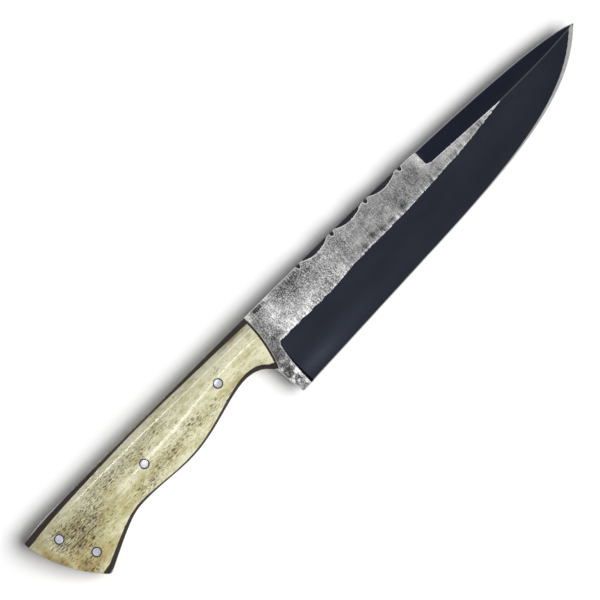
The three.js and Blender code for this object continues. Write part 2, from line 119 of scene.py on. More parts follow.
# Forging marks, by size across and by depth, and the clouds in their tone
BLOW_SIZE, BLOW_DEPTH = 9, 0.035
PIT_SIZE, PIT_DEPTH = 2.4, 0.04
SCALE_SIZE, SCALE_DEPTH = 0.9, 0.025
CLOUD_SIZE, CLOUD_TONE = 7, 0.12
PLAIN_TONE = 0.465

# Noise: how far each side is read from its middle, and the fading, growth and count of its octaves
SIDE_SHIFT = 40
FRACTAL = (1.0, 2.0, 3)

# How the marks change along the blade: ahead of the scales, strength
DEPTH_ALONG = ((0, 0.55), (42, 0.55), (54, 1.0), (92, 1.0), (110, 0.8), (150, 0.5))
CRISPNESS_ALONG = ((-4, 0.75), (6, 1.25), (42, 1.25), (58, 0.75), (110, 0.6))
COBBLE_SOFTNESS = 0.45

# Blade: ground faces by their lean in degrees, the reach of the file cuts, eased edges, and pale edge lines
# that are partly wearing of the steel and partly painted highlight
FLAT_LEAN = 2
BEVEL_LEAN = 12
STEEP_LEAN = 26
SPINE_LEAN = 30
RICASSO_BACK = 8
SEAT_DEPTH = 0.1
FILED_END = 100
FILED_REACH = 1.2
SPINE_EASE = 0.1
GRIND_SLOPE = 0.105
BORDER_REACH = 2.0
# Pale lines along edges, their width and strength: partly wearing of the steel, partly painted highlight
WEAR_AND_HIGHLIGHT_WIDTH = 0.42
PLUNGE_WEAR_AND_HIGHLIGHT, EDGE_WEAR_AND_HIGHLIGHT = 0.7, 1.0
RIDGE_RUB_AND_HIGHLIGHT, SPINE_RUB_AND_HIGHLIGHT = 0.12, 1.0

# Handle: the form of the bone and of the pin heads, and the dark ring round each pin, a glue line with
# painted shade in the slit and on the pin's chamfer
DOME_STEP = 1.0
RIDGE_STEP = 0.25
OUTLINE_BLUR = 2.0
CROWN_BLUR = 6.0
BLUR_REACH = 3
CROWN_FULLNESS = 2.4
BONE_EASE = 0.4
BONE_RIM = 0.03
BONE_WALL = 0.6
PIN_CLEARANCE = 0.06
PIN_SLIT = 0.15
PIN_CROWN = 0.04
PIN_CHAMFER = 0.2
PIN_RINGS = (0.3, 0.55, 0.75, 0.88, 0.95, 1.0)
PIN_SHOULDER = 0.87
GLUE_AND_SHADE_WIDTH = 0.36
PLAIN_AGE = 0.08

# Stage: the floor and the light from all round
FLOOR_SIZE = 6000
FLOOR_CELLS = 8
FLOOR_DROP = 0.05
AMBIENT = 0.045


def corners(node):
    """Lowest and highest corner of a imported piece."""
    low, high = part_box(node)
    return low / MM, high / MM


HILT = corners("front_scale")[1].x
SPINE = corners("front_liner")[1].y
FLAT = {FRONT: corners("blade")[1].z, BACK: corners("blade")[0].z}
MIDDLE = (FLAT[FRONT] + FLAT[BACK]) / 2
RICASSO = HILT - RICASSO_BACK
PIN_CENTRES = {pin: sum(corners(pin), Vector()) / 2 for pin in PINS}
PIN_RADIUS = (corners(PINS[0])[1].x - corners(PINS[0])[0].x) / 2
HOLE_RADIUS = PIN_RADIUS + PIN_CLEARANCE

# Soft patches: ahead of the scales, below the spine, half length, half width, strength
FLAT_TONES = (
    (1.4, 1.4, 3, 2.2, 0.32),
    (2.4, 11, 2, 9, -0.12),
    (6, 14.9, 2.4, 1.5, -0.24),
    (12, 9, 6, 8, 0.17),
    (24, 15.5, 13, 3.5, 0.2),
    (28, 3, 14, 2.6, -0.2),
    (88, 7, 14, 8, -0.08),
    (95, 8, 10, 8, -0.04),
    (103, 4, 2, 5, 0.2),
    (116, 10.4, 9, 1.4, 0.17),
)
HEEL_TONES = (
    (1, 22, 5, 5, -0.14),
    (0.9, 25.2, 1.3, 0.8, 0.3),
    (-3, 27.6, 1.2, 0.8, 0.5),
    (1.2, 33, 0.9, 1.6, 0.5),
    (1.9, 34, 0.8, 6.5, 0.3),
    (-1, 35, 5, 7, 0.07),
    (1.2, 38.5, 1.2, 1.0, 0.4),
)
GRIND_SMUDGES = (
    (60, 14.7, 2, 1.2, -0.25),
    (66, 13.1, 1.3, 1.4, -0.35),
    (71.2, 13.9, 1.3, 1.4, -0.32),
    (76, 14.5, 1.8, 1.1, -0.26),
    (85, 13.4, 2.4, 1.5, -0.22),
    (101, 14.6, 1.5, 1.5, -0.25),
)
SPINE_STROKES = (
    (7, 0.6, 2.4, 0.35, -0.6),
    (7.4, 1.5, 2.6, 0.35, -0.6),
)
STEEL_TONES = FLAT_TONES + HEEL_TONES + GRIND_SMUDGES + SPINE_STROKES
COBBLES = ((-1, 32, 5, 9, 1.0),)
# Painted highlight: patches where the bevel by the heel is made paler in its colour
PAINTED_BEVEL_SHEEN = (
    (12, 35, 12, 2.6, 1.0),
    (30, 33, 20, 4, 0.3),
)
BUTT_STAINS = (
    (-133, 15, 2.4, 5, 0.6),
    (-132, 8, 4, 2.5, 0.35),
    (-130, 21, 2.4, 4, 0.5),
    (-124.5, 30, 4, 3.5, 0.7),
    (-117, 19, 12, 9, 0.3),
    (-116, 30, 7, 4, 0.25),
    (-115.5, 33.5, 7, 3.2, 0.28),
    (-107.5, 29.5, 4, 3, 0.3),
)
GRIP_STAINS_AND_PAINTED_LIGHT = (
    (-94, 20, 9, 5, 0.33),
    (-66, 20, 14, 4, 0.22),
    (-35, 2.8, 20, 0.9, 0.2),
    (-24, 18, 10, 2, 0.2),
    # Painted light: the upper front slope, which turns away from the key lamp, is made paler than the rest
    (-16, 5.5, 16, 3.5, -0.3),
    (-8, 2.5, 5, 1.0, 0.9),
    (-3, 6, 2.5, 2, 0.25),
)
BONE_AGES_AND_PAINTED_LIGHT = BUTT_STAINS + GRIP_STAINS_AND_PAINTED_LIGHT
BONE_PORES = (
    (-125, 12, 7, 5, 0.5),
    (-123, 33, 4, 3, 0.5),
    (-122, 29, 7, 4, 0.6),
    (-117, 18, 12, 8, 1.0),
    (-104, 14, 8, 7, 0.55),
    (-90, 8.5, 11, 4, 0.65),
    (-80, 23, 12, 3, 0.6),
    (-74, 10, 7, 4, 0.6),
    (-62, 19.5, 14, 3.5, 0.6),
    (-60, 8, 8, 3, 0.55),
    (-47, 16.5, 6, 2.5, 0.7),
    (-35, 19, 8, 3, 0.45),
    (-24, 8, 4, 2, 0.4),
)


def patches(x, y, table):
    """The soft patches of a table, added up at a place."""
    total = 0.0
    for ahead, below, length, width, strength in table:
        forward = (x - HILT - ahead) / length
        sideways = (SPINE - y - below) / width
        total += strength * math.exp(-forward * forward - sideways * sideways)
    return total


def along_blade(x, stops):
    """A strength at x, read between the stops of a change along the blade."""
    places, strengths = zip(*stops)
    return float(np.interp(x - HILT, places, strengths))


# Reading the solids and drawing over them


class Solid:
    """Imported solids, read from straight above and from straight below."""

    def __init__(self, *nodes):
        self.mesh = bmesh.new()
        for node in nodes:
            self.mesh.from_mesh(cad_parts[node].data)
        bmesh.ops.scale(self.mesh, vec=(1 / MM,) * 3, verts=self.mesh.verts)
        bmesh.ops.remove_doubles(self.mesh, verts=self.mesh.verts, dist=WELD)
        self.mesh.normal_update()
        self.tree = BVHTree.FromBMesh(self.mesh)

    def hit(self, x, y, side):
        """Place and normal of the surface seen from that side, or None twice beside the solid."""
        start = Vector((x, y, MIDDLE + side * FAR))
        return self.tree.ray_cast(start, Vector((0, 0, -side)))[:2]

    def covers(self, x, y):
        return self.hit(x, y, FRONT)[0] is not None

    def surface(self, x, y, side):
        """Height and normal there, taken from the nearest point where the ray just misses."""
        place, normal = self.hit(x, y, side)
        if place is None:
            place, normal = self.tree.find_nearest(Vector((x, y, MIDDLE + side)))[:2]
        return place.z, normal

    def lines(self, side):
        """Outline and sharp bends seen from that side: start, end and the faces that are seen."""
        for edge in self.mesh.edges:
            seen = [face for face in edge.link_faces if face.normal.z * side > FLAT_LIMIT]
            bent = len(seen) == 2 and edge.calc_face_angle(0) > BEND
            if len(seen) == 1 or bent:
                start, end = (Vector(vert.co[:2]) for vert in edge.verts)
                yield start, end, seen


def points_along(lines, step):
    """Points at about that step along the lines, each with the direction across its line."""
    for start, end in lines:
        across = (end - start).orthogonal().normalized()
        count = max(1, round((end - start).length / step))
        for i in range(count):
            yield start.lerp(end, (i + 0.5) / count), across


def distance_to(points):
    """A function that gives the distance in plan to the nearest of these points."""
    tree = kdtree.KDTree(len(points))
    for i, place in enumerate(points):
        tree.insert((place[0], place[1], 0), i)
    tree.balance()
    return lambda x, y: tree.find((x, y, 0))[2]


def distance_to_lines(lines, step):
    return distance_to([place for place, _ in points_along(lines, step)])


def grid(low, high, step):
    """Points in staggered rows over a box."""
    rows = int((high.y - low.y) / (step * ROW_HEIGHT)) + 2
    columns = int((high.x - low.x) / step) + 2
    for row in range(rows):
        for column in range(columns):
            shift = 0.5 * (row % 2)
            yield Vector((low.x + (column + shift) * step, low.y + row * step * ROW_HEIGHT))


def thinned(points, gap):
    """The points that are no nearer than a gap to one that was taken before."""
    taken = {}
    kept = []
    for place in points:
        cell = (math.floor(place.x / gap), math.floor(place.y / gap))
        near = [taken.get((cell[0] + i, cell[1] + j), ()) for i in (-1, 0, 1) for j in (-1, 0, 1)]
        if all((place - other).length > gap for group in near for other in group):
            taken.setdefault(cell, []).append(place)
            kept.append(place)
    return kept


def edge_rows(lines, offsets, step):
    """Rows of points on both sides of the lines."""
    rows = []
    for offset in offsets:
        places = []
        for place, across in points_along(lines, step):
            places += [place + way * offset * across for way in SIDES]
        rows += thinned(places, CLEAR * min(step, 2 * offset))
    return rows


def ring(centre, radius, count):
    angles = [2 * math.pi * i / count for i in range(count)]
    return [Vector((centre.x + radius * math.cos(a), centre.y + radius * math.sin(a))) for a in angles]


def closed(loop):
    return list(zip(loop, loop[1:] + loop[:1]))


class Plan:
    """A triangulated plan of a piece, with its lines as edges and a height on each side."""

    def __init__(self, lines, fill, covers):
        ends = [place for line in lines for place in line]
        edges = [(i, i + 1) for i in range(0, len(ends), 2)]
        made = geometry.delaunay_2d_cdt(ends + fill, edges, [], ALL_TRIANGLES, MERGE)
        points = np.array([place[:] for place in made[0]])
        faces = np.array(made[2])
        faces = faces[[covers(*middle) for middle in points[faces].mean(axis=1)]]
        used, numbers = np.unique(faces, return_inverse=True)
        self.points = points[used]
        self.faces = numbers.reshape(-1, 3)
        first, second, third = (self.points[self.faces[:, i]] for i in range(3))
        turned = np.cross(second - first, third - first) < 0
        self.faces[turned] = self.faces[turned][:, ::-1]
        self.heights = {}

    def face_of_edge(self):
        """The number of the face to the left of each edge, by the edge's start and end."""
        faces = enumerate(self.faces.tolist())
        return {(face[i], face[(i + 1) % 3]): number for number, face in faces for i in range(3)}

    def rim(self):
        """Edges with a face on one side only, with that face to their left."""
        edges = self.face_of_edge()
        return [(start, end) for start, end in edges if (end, start) not in edges]

    def inside(self):
        """The points, those of the rim moved a little into the piece."""
        places = self.points.copy()
        middles = np.repeat(places[self.faces].mean(axis=1), 3, axis=0)
        total = np.zeros_like(places)
        np.add.at(total, self.faces.ravel(), middles)
        inward = total / np.bincount(self.faces.ravel())[:, None] - places
        edge = np.unique(self.rim())
        lengths = np.linalg.norm(inward[edge], axis=1)
        places[edge] += NUDGE * inward[edge] / lengths[:, None]
        return places

    def walls(self):
        """The faces round the rim, in strips from the front to the back."""
        count = len(self.points)
        rim = self.rim()
        edge = np.unique(rim)
        order = {point: i for i, point in enumerate(edge)}

        def corner(point, row):
            if row == 0:
                return point
            if row > len(WALL_ROWS):
                return point + count
            return 2 * count + (row - 1) * len(edge) + order[point]

        strips = []
        for row in range(len(WALL_ROWS) + 1):
            for a, b in rim:
                strips.append([corner(a, row), corner(a, row + 1), corner(b, row + 1), corner(b, row)])
        return strips

    def add_look(self, mesh, look, values, kept):
        """Writes a look's values for the front, then for the back, and a share of them on the walls."""
        first, last = np.reshape(values, (2, len(self.points)))[:, np.unique(self.rim())]
        down = [kept * (first + share * (last - first)) for share in WALL_ROWS]
        attribute = mesh.attributes.new(look, "FLOAT", "POINT")
        attribute.data.foreach_set("value", np.concatenate([values, *down]).tolist())

    def mesh(self, name, finishes=None, looks=(), edge_looks=()):
        """A closed object: the plan at both heights and walls round it. Edge looks stay off the walls."""
        count = len(self.points)
        rim = self.rim()
        edge = np.unique(rim)
        front, back = (np.column_stack([self.points, self.heights[side]]) for side in SIDES)
        rows = [front[edge] + share * (back - front)[edge] for share in WALL_ROWS]
        polygons = self.faces.tolist() + (self.faces[:, ::-1] + count).tolist() + self.walls()
        mesh = bpy.data.meshes.new(name)
        mesh.from_pydata((np.vstack([front, back, *rows]) * MM).tolist(), [], polygons)
        for look, values in dict(looks).items():
            self.add_look(mesh, look, values, 0.0 if look in edge_looks else 1.0)
        if finishes is not None:
            left = self.face_of_edge()
            on_walls = [finishes[side][left[pair]] for side in WALL_SIDES for pair in rim]
            mesh.polygons.foreach_set("material_index", finishes[FRONT] + finishes[BACK] + on_walls)
        return finished(name, mesh)


def finished(name, mesh):
    """The object of a mesh, welded, smooth, and sharp only at bends and where finishes meet."""
    model = bmesh.new()
    model.from_mesh(mesh)
    bmesh.ops.remove_doubles(model, verts=model.verts, dist=WELD * MM)
    bmesh.ops.dissolve_degenerate(model, edges=model.edges, dist=WELD * MM)
    loose = [vert for vert in model.verts if not vert.link_faces]
    bmesh.ops.delete(model, geom=loose, context="VERTS")
    for face in model.faces:
        face.smooth = True
    for edge in model.edges:
        kinds = {face.material_index for face in edge.link_faces}
        edge.smooth = edge.calc_face_angle(0) < SHARP and len(kinds) == 1
    model.to_mesh(mesh)
    model.free()
    piece = bpy.data.objects.new(name, mesh)
    bpy.context.scene.collection.objects.link(piece)
    return piece


def placed(piece, node, slot, *materials):
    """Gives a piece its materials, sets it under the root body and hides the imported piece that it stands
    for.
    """
    for material in materials:
        piece.data.materials.append(material)
    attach(piece, "root")
    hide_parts(node)


def eased(distance, radius):
    """How far a rounded edge falls away at a distance from it."""
    if distance >= radius:
        return 0.0
    return radius - math.sqrt(radius * radius - (radius - distance) ** 2)


# Materials


def grey(level):
    return (level, level, level)


def times(colour, factor):
    return tuple(factor * part for part in colour)


# Colours, with the stops of longer runs, and pairs from dark to pale
# Dark of the ring round each pin: a glue line with painted shade in the slit
GLUE_AND_SHADE_DARK = (0.012, 0.01, 0.008)
FORGE_GREYS = (
    (0.0, grey(0.03)),
    (0.25, grey(0.11)),
    (0.5, grey(0.27)),
    (0.75, grey(0.47)),
    (1.0, grey(0.68)),
)
# Pale greys of bright edges: partly wearing of the steel, partly painted highlight
WEAR_AND_HIGHLIGHT_STEEL = grey(0.62)
RUB_AND_HIGHLIGHT_STEEL = grey(0.55)
BEVEL_BLUE = (0.018, 0.0205, 0.0285)
SWEDGE_BLUE = (0.0125, 0.0145, 0.0235)
FILED_BLUE = (0.021, 0.0215, 0.0245)
SHARPENED_GREYS = (grey(0.31), grey(0.47))
SEAT_GREYS = (grey(0.16), grey(0.28))
CREAM = (0.72, 0.705, 0.495)
OLIVE = (0.49, 0.45, 0.24)
GOLD = (0.38, 0.29, 0.108)
SOIL = (0.16, 0.12, 0.052)
AGEING = ((0.0, CREAM), (0.3, OLIVE), (0.65, GOLD), (1.0, SOIL))
STREAK = (0.155, 0.12, 0.052)
PORE = (0.02, 0.012, 0.002)
LINER_BROWNS = ((0.012, 0.0095, 0.0085), (0.04, 0.031, 0.027))
PIN_SILVERS = ((0.42, 0.42, 0.47), (0.56, 0.57, 0.63))
FLOOR_WHITE = grey(0.99)

# Marks: their size along, across and through the knife, and how the edges of pits fray
LUMP = (1.8, 1.8, 1.8)
DASH = (3.2, 0.58, 5)
SPECK = (1.8, 0.44, 4)
FRAY = 0.3
FRAY_SIZE = 0.3

# The span in which nearly all noise lies
NOISE_SPAN = (0.3, 0.7)

# Colour sockets of a Mix node
MIX_FIRST, MIX_SECOND, MIX_RESULT = 6, 7, 2


class Nodes:
    """A node tree, built node by node."""

    def __init__(self, tree):
        self.tree = tree

    def node(self, kind, inputs=(), **properties):
        made = self.tree.nodes.new("ShaderNode" + kind)
        for name, value in properties.items():
            setattr(made, name, value)
        for name, value in dict(inputs).items():
            self.feed(made.inputs[name], value)
        return made

    def feed(self, socket, value):
        if isinstance(value, bpy.types.NodeSocket):
            self.tree.links.new(value, socket)
        else:
            socket.default_value = value

    def math(self, operation, first, second):
        made = self.node("Math", operation=operation)
        self.feed(made.inputs[0], first)
        self.feed(made.inputs[1], second)
        return made.outputs[0]

    def scaled(self, value, factor):
        return self.math("MULTIPLY", value, factor)

    def spread(self, value, span, result=(0.0, 1.0)):
        """A span of values, stretched over a span of results and held at its ends."""
        inputs = {"Value": value, "From Min": span[0], "From Max": span[1]}
        inputs |= {"To Min": result[0], "To Max": result[1]}
        return self.node("MapRange", inputs).outputs["Result"]


class Shader(Nodes):
    """A material, built over its Principled surface."""

    def __init__(self, name):
        self.material = bpy.data.materials.new(name)
        self.material.use_nodes = True
        super().__init__(self.material.node_tree)
        self.surface = self.tree.nodes["Principled BSDF"]
        self.place = self.node("TexCoord").outputs["Object"]

    def set(self, inputs):
        for name, value in inputs.items():
            self.feed(self.surface.inputs[name], value)

    def look(self, name):
        return self.node("Attribute", attribute_name=name).outputs["Fac"]

    def mapped(self, size):
        """Places along, across and through the knife, counted in that size."""
        scale = [1 / (MM * length) for length in size]
        return self.node("Mapping", {"Vector": self.place, "Scale": scale}).outputs["Vector"]

    def noise(self, size, detail=3.0, roughness=0.5):
        """Noise with marks of about that size along, across and through the knife."""
        inputs = {"Vector": self.mapped(size), "Scale": 1.0, "Detail": detail, "Roughness": roughness}
        return self.node("TexNoise", inputs).outputs["Fac"]

    def cells(self, size, bend=0.0, feature="F1"):
        """Irregular cells of about that size, bent out of straight: the outputs of their node."""
        place = self.mapped(size)
        wave = self.node("TexNoise", {"Vector": place, "Scale": 1.5, "Detail": 1.0}).outputs["Color"]
        shift = self.node("VectorMath", {0: wave, "Scale": bend}, operation="SCALE").outputs["Vector"]
        bent = self.node("VectorMath", {0: place, 1: shift}, operation="ADD").outputs["Vector"]
        return self.node("TexVoronoi", {"Vector": bent, "Scale": 1.0}, feature=feature).outputs

    def chance(self, cells):
        """A chance value for each cell."""
        return self.node("SeparateColor", {"Color": cells["Color"]}).outputs["Red"]

    def pits(self, size, share):
        """Separate ragged pits, one to a cell and up to a share of its size: above 0 inside a pit."""
        cells = self.cells(size)
        fray = self.noise([FRAY_SIZE * length for length in size], detail=2)
        ragged = self.varied(self.scaled(share, self.chance(cells)), fray, amount=FRAY)
        return self.math("SUBTRACT", ragged, cells["Distance"])

    def varied(self, value, marks, amount):
        """A value, moved up and down by noise marks."""
        shift = self.scaled(self.math("SUBTRACT", marks, 0.5), amount)
        return self.math("ADD", value, shift)

    def ramp(self, value, stops):
        """Colours by a value, read between stops."""
        made = self.node("ValToRGB", {"Fac": value})
        elements = made.color_ramp.elements
        for _ in stops[2:]:
            elements.new(0.5)
        for element, (position, colour) in zip(elements, stops):
            element.position = position
            element.color = (*colour, 1)
        return made.outputs["Color"]

    def mixed(self, factor, first, second):
        """A mix of two colours, each a tuple or the output of a node."""
        made = self.node("Mix", data_type="RGBA")
        self.feed(made.inputs[0], factor)
        for number, colour in ((MIX_FIRST, first), (MIX_SECOND, second)):
            self.feed(made.inputs[number], (*colour, 1) if isinstance(colour, tuple) else colour)
        return made.outputs[MIX_RESULT]

    def bump(self, height, strength, depth):
        inputs = {"Height": height, "Strength": strength, "Distance": depth * MM}
        return self.node("Bump", inputs).outputs["Normal"]


def forged_steel():
    """Forge skin: grey grain with brighter strokes that rise from the ground border."""
    shader = Shader("forged_steel")
    blotch = shader.noise((3.2, 2.4, 3.0), detail=4, roughness=0.6)
    grain = shader.noise((0.6, 0.6, 0.6), detail=2, roughness=0.6)
    warp = shader.noise((0.6, 2.2, 1.0), detail=2, roughness=0.6)
    weft = shader.noise((2.2, 0.6, 1.0), detail=2, roughness=0.6)
    stroke = shader.noise((1.2, 6, 2.0), detail=3, roughness=0.6)
    border = shader.look("border")
    crisp = shader.look("crisp")
    cobble = shader.look("cobble")
    lump = shader.chance(shader.cells(LUMP, bend=0.5))
    seam = shader.cells(LUMP, bend=0.5, feature="DISTANCE_TO_EDGE")["Distance"]
    shade = shader.varied(shader.look("tone"), blotch, amount=0.35)
    for marks, amount in ((grain, 1.35), (warp, 0.75), (weft, 0.2)):
        shade = shader.varied(shade, marks, shader.scaled(crisp, amount))
    shade = shader.varied(shade, stroke, shader.scaled(border, 1.2))
    shade = shader.math("ADD", shade, shader.scaled(shader.math("POWER", border, 5.0), 0.35))
    shade = shader.varied(shade, lump, shader.scaled(cobble, 0.45))
    crack = shader.spread(seam, (0.04, 0.2), (0.4, 0.0))
    shade = shader.math("SUBTRACT", shade, shader.scaled(cobble, crack))
    shader.set(
        {
            # Forged edges turn pale: partly wearing of the steel, partly painted highlight
            "Base Color": shader.mixed(shader.look("wear_and_highlight"), shader.ramp(shade, FORGE_GREYS), WEAR_AND_HIGHLIGHT_STEEL),
            "Metallic": 1.0,
            "Roughness": shader.spread(shade, (0.1, 0.9), (0.55, 0.35)),
            "Normal": shader.bump(shader.varied(blotch, grain, amount=0.6), strength=0.4, depth=0.15),
        }
    )
    return shader.material


def blued_steel(name, colour):
    """Dark polished steel, brushed across, with a painted highlight by the heel, and pale edges that are
    partly rubbed and partly painted highlight.
    """
    shader = Shader(name)
    cloud = shader.noise((26, 9, 9))
    brush = shader.noise((0.25, 9, 1.0))
    dark = shader.mixed(shader.spread(cloud, NOISE_SPAN), colour, times(colour, 1.25))
    # Painted highlight: the bevel turns paler where the patches of painted shine lie
    dark = shader.mixed(shader.look("painted_sheen"), dark, times(colour, 2.1))
    shader.set(
        {
            # Edges of the ground steel turn pale: partly rubbed, partly painted highlight
            "Base Color": shader.mixed(shader.look("rub_and_highlight"), dark, RUB_AND_HIGHLIGHT_STEEL),
            "Metallic": 1.0,
            "Roughness": shader.spread(brush, NOISE_SPAN, (0.26, 0.32)),
            "Normal": shader.bump(brush, strength=0.03, depth=0.05),
        }
    )
    return shader.material


def satin_steel(name, greys):
    """Bare steel, ground along the knife."""
    shader = Shader(name)
    stroke = shader.noise((14, 0.4, 0.4))
    scratch = shader.noise((0.2, 1.5, 1.0), detail=2)
    shade = shader.varied(stroke, scratch, amount=0.3)
    shader.set(
        {
            "Base Color": shader.ramp(shade, list(zip(NOISE_SPAN, greys))),
            "Metallic": 1.0,
            "Roughness": shader.spread(scratch, NOISE_SPAN, (0.3, 0.42)),
            "Normal": shader.bump(scratch, strength=0.1, depth=0.05),
        }
    )
    return shader.material


def darkened_by_glue_and_shade(shader, colour):
    """A colour, dark in the ring round a pin: a glue line in the slit, with painted shade there and on the
    pin's chamfer.
    """
    return shader.mixed(shader.spread(shader.look("glue_and_shade"), (0.0, 0.5)), colour, GLUE_AND_SHADE_DARK)


def bone():
    """Polished bone: cream to brown as it ages, paler on the upper front slope by painted light, with dark
    pores along the grain under a clear gloss.
    """
    shader = Shader("bone")
    cloud = shader.noise((13, 6, 6), detail=4, roughness=0.6)
    mottle = shader.noise((3.5, 1.8, 2), detail=3, roughness=0.6)
    fibre = shader.noise((9, 0.8, 0.8))
    density = shader.look("pores")
    dash = shader.pits(DASH, shader.spread(density, (0.0, 1.0), (0.2, 0.58)))
    speck = shader.pits(SPECK, shader.spread(density, (0.0, 1.0), (0.1, 0.6)))
    pores = shader.math("MAXIMUM", shader.spread(dash, (-0.04, 0.08)), shader.spread(speck, (-0.04, 0.1)))
    streak = shader.varied(shader.noise((1.5, 0.5, 0.6), detail=3, roughness=0.65), density, amount=0.2)
    # Ageing of the bone, with painted light that makes the upper front slope paler
    age_and_painted_light = shader.look("age_and_painted_light")
    for marks, amount in ((cloud, 1.2), (mottle, 0.7), (fibre, 0.35)):
        age_and_painted_light = shader.varied(age_and_painted_light, marks, amount)
    flesh = shader.ramp(age_and_painted_light, AGEING)
    streaked = shader.mixed(shader.spread(streak, (0.48, 0.65), (0.0, 0.85)), flesh, STREAK)
    shader.set(
        {
            "Base Color": darkened_by_glue_and_shade(shader, shader.mixed(shader.scaled(pores, 0.95), streaked, PORE)),
            "Roughness": shader.spread(pores, (0.0, 1.0), (0.4, 0.6)),
            "Specular IOR Level": 0.2,
            "Normal": shader.bump(shader.varied(pores, fibre, amount=-0.2), strength=-0.3, depth=0.1),
            "Coat Weight": 0.65,
            "Coat Roughness": 0.09,
        }
    )
    return shader.material


def liner():
    """Dark pressed fibre, streaked along the handle."""
    shader = Shader("liner_fibre")
    streak = shader.noise((14, 0.7, 0.5), detail=4)
    grain = shader.noise((0.6, 0.25, 0.25))
    shade = shader.varied(streak, grain, amount=0.5)
    shader.set(
        {
            "Base Color": shader.ramp(shade, list(zip((0.25, 0.75), LINER_BROWNS))),
            "Roughness": shader.spread(grain, NOISE_SPAN, (0.4, 0.55)),
            "Specular IOR Level": 0.15,
            "Normal": shader.bump(shade, strength=0.25, depth=0.06),
        }
    )
    return shader.material


def pin_metal():
    """Bright rod ends with fine scratches, and a dark rim of glue with painted shade on the chamfer."""
    shader = Shader("pin_metal")
    scratch = shader.noise((0.9, 0.09, 0.5))
    cloud = shader.noise((1.6, 1.6, 1.6), detail=2)
    shade = shader.varied(cloud, scratch, amount=0.5)
    shader.set(
        {
            "Base Color": darkened_by_glue_and_shade(shader, shader.ramp(shade, list(zip(NOISE_SPAN, PIN_SILVERS)))),
            "Metallic": 1.0,
            "Roughness": shader.spread(scratch, NOISE_SPAN, (0.25, 0.4)),
            "Normal": shader.bump(scratch, strength=0.12, depth=0.04),
        }
    )
    return shader.material


# Blade: forged flats over ground bevels

FORGED, BEVEL, SWEDGE, SHARPENED, FILED, SEAT = range(6)
MOST_CORNERS = 2


def lean(normal):
    """Degrees by which a face leans out of the plane of the knife."""
    return math.degrees(math.acos(min(1.0, abs(normal.z))))


def ground_finish(normal):
    """Which grinding left a surface, by the way that it leans."""
    if lean(normal) < FLAT_LEAN:
        return FORGED
    if normal.y > 0:
        return SWEDGE
    if BEVEL_LEAN < lean(normal) < STEEP_LEAN:
        return SHARPENED
    return BEVEL


def finish_at(solid, x, y, side):
    """How the surface there was made. The seat of the handle is ground lower than the forged flats."""
    height, normal = solid.surface(x, y, side)
    kind = ground_finish(normal)
    if kind == SWEDGE and x < HILT + FILED_END:
        return FILED
    is_seat = kind == FORGED and side * (FLAT[side] - height) > SEAT_DEPTH
    return SEAT if is_seat else kind


def forged_depth(x, y, side):
    """Depth of the forging marks: shallow by the handle and deepest along the middle of the flats."""
    place = Vector((x, y, SIDE_SHIFT * side))
    blows = 0.5 + 0.5 * noise.noise(place / BLOW_SIZE)
    pits = max(0.0, noise.fractal(place / PIT_SIZE, *FRACTAL))
    scale = 0.5 + 0.5 * noise.noise(place / SCALE_SIZE)
    worked = BLOW_DEPTH * blows + PIT_DEPTH * pits + SCALE_DEPTH * scale
    return along_blade(x, DEPTH_ALONG) * worked


def forged_tone(x, y, side):
    """How pale the forge skin is."""
    place = Vector((x, y, SIDE_SHIFT * side))
    cloud = CLOUD_TONE * noise.fractal(place / CLOUD_SIZE, *FRACTAL)
    return PLAIN_TONE + patches(x, y, STEEL_TONES) + cloud


def crispness(x, y):
    """How strongly the grain of the forge skin shows: most by the handle, less where it is cobbled."""
    return along_blade(x, CRISPNESS_ALONG) * (1 - COBBLE_SOFTNESS * patches(x, y, COBBLES))


def kinds_of(faces):
    return {ground_finish(face.normal) for face in faces}


def is_grind_line(seen):
    """Whether a bend lies between a forged flat and the main bevel."""
    steepest = max(lean(face.normal) for face in seen)
    return kinds_of(seen) == {FORGED, BEVEL} and steepest < BEVEL_LEAN


def wear_and_highlight_of(seen):
    """How bright a forged edge is made, by what meets on it: partly wearing of the steel, partly painted
    highlight.
    """
    kinds = kinds_of(seen)
    inner = len(seen) == 2 and len(kinds) == 1
    if FORGED not in kinds or inner or is_grind_line(seen):
        return 0.0
    return PLUNGE_WEAR_AND_HIGHLIGHT if BEVEL in kinds else EDGE_WEAR_AND_HIGHLIGHT


def rub_and_highlight_of(seen):
    """How bright an edge of the dark ground steel is made: partly rubbed, partly painted highlight."""
    kinds = kinds_of(seen)
    if kinds == {SWEDGE, BEVEL}:
        return RIDGE_RUB_AND_HIGHLIGHT
    is_spine = kinds == {SWEDGE} and len(seen) == 1 and lean(seen[0].normal) < SPINE_LEAN
    return SPINE_RUB_AND_HIGHLIGHT if is_spine else 0.0


# Looks of the pale edges, partly wearing and partly painted highlight, and what gives their strength
WORN_AND_HIGHLIGHTED = {"wear_and_highlight": wear_and_highlight_of, "rub_and_highlight": rub_and_highlight_of}


class WearAndHighlight:
    """Bright lines along the edges of one side: partly wearing of the steel, partly painted highlight."""

    def __init__(self, edges):
        marks = []
        for start, end, strength in edges:
            marks += [(place, strength) for place, _ in points_along([(start, end)], FINE_PROBE)]
        self.strengths = [strength for _, strength in marks]
        self.tree = kdtree.KDTree(len(marks))
        for i, (place, _) in enumerate(marks):
            self.tree.insert((*place, 0), i)
        self.tree.balance()

    def at(self, x, y):
        _, i, distance = self.tree.find((x, y, 0))
        return self.strengths[i] * max(0.0, 1 - distance / WEAR_AND_HIGHLIGHT_WIDTH)


